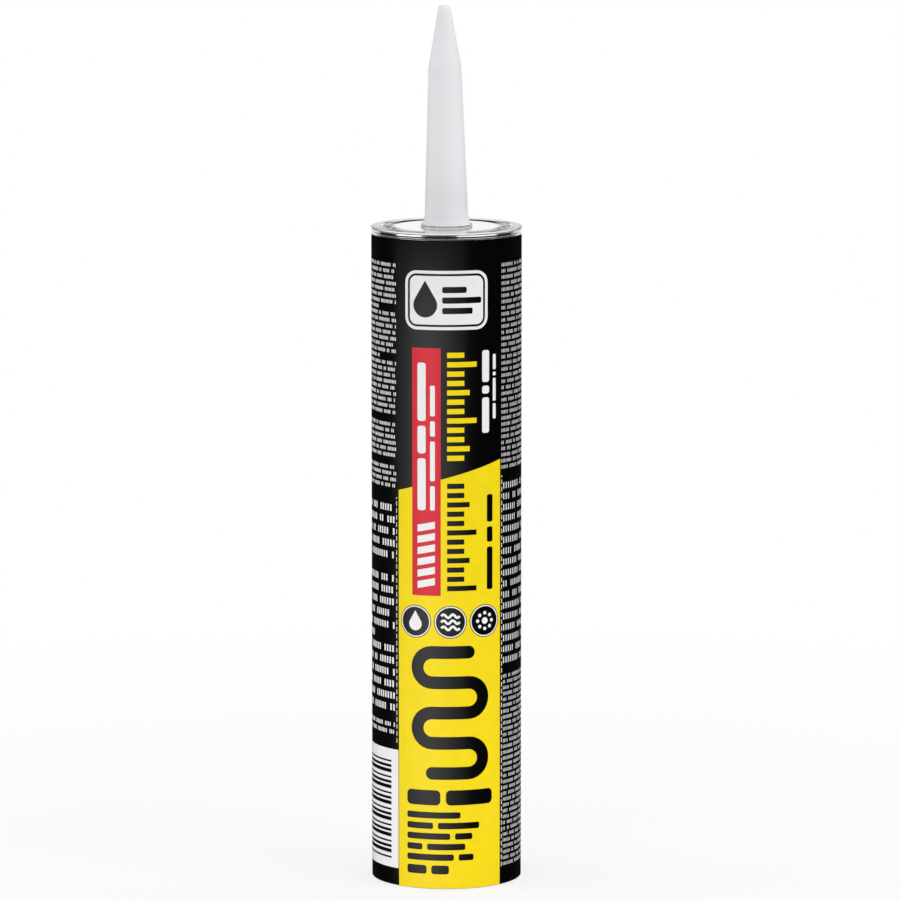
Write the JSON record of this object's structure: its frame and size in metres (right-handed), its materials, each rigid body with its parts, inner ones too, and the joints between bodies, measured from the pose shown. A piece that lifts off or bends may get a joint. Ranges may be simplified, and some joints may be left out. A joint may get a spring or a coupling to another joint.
{
  "type": "construction adhesive cartridge",
  "caption": "Round fibre cartridge of construction adhesive: printed wrap, crimped metal end, tapered plastic nozzle, and a plunger that slides up from the open rear.",
  "frame": {"origin": "centre of the tube's rear rim, in the plane it stands on", "axes": "+Z along the axis towards the nozzle, -Y towards the front of the label, +X to the right seen from the front"},
  "size_m": [0.05, 0.05, 0.2867],
  "materials": {
    "fibre": "matte",
    "label": "satin",
    "tinplate": "polished",
    "nozzle_plastic": "satin",
    "foil": "satin",
    "adhesive": "satin",
    "plunger_plastic": "satin"
  },
  "bodies": {
    "cartridge": {"cartridge_tube": "fibre", "printed_label": "label", "metal_end": "tinplate", "nozzle": "nozzle_plastic", "inner_seal": "foil", "adhesive_fill": "adhesive"},
    "plunger": {"plunger": "plunger_plastic"}
  },
  "joints": [
    {"name": "plunger_slide", "type": "slide", "parent": "cartridge", "child": "plunger", "axis": [0, 0, 1], "range_m": [0, 0.182], "deforming": ["adhesive_fill"]}
  ]
}
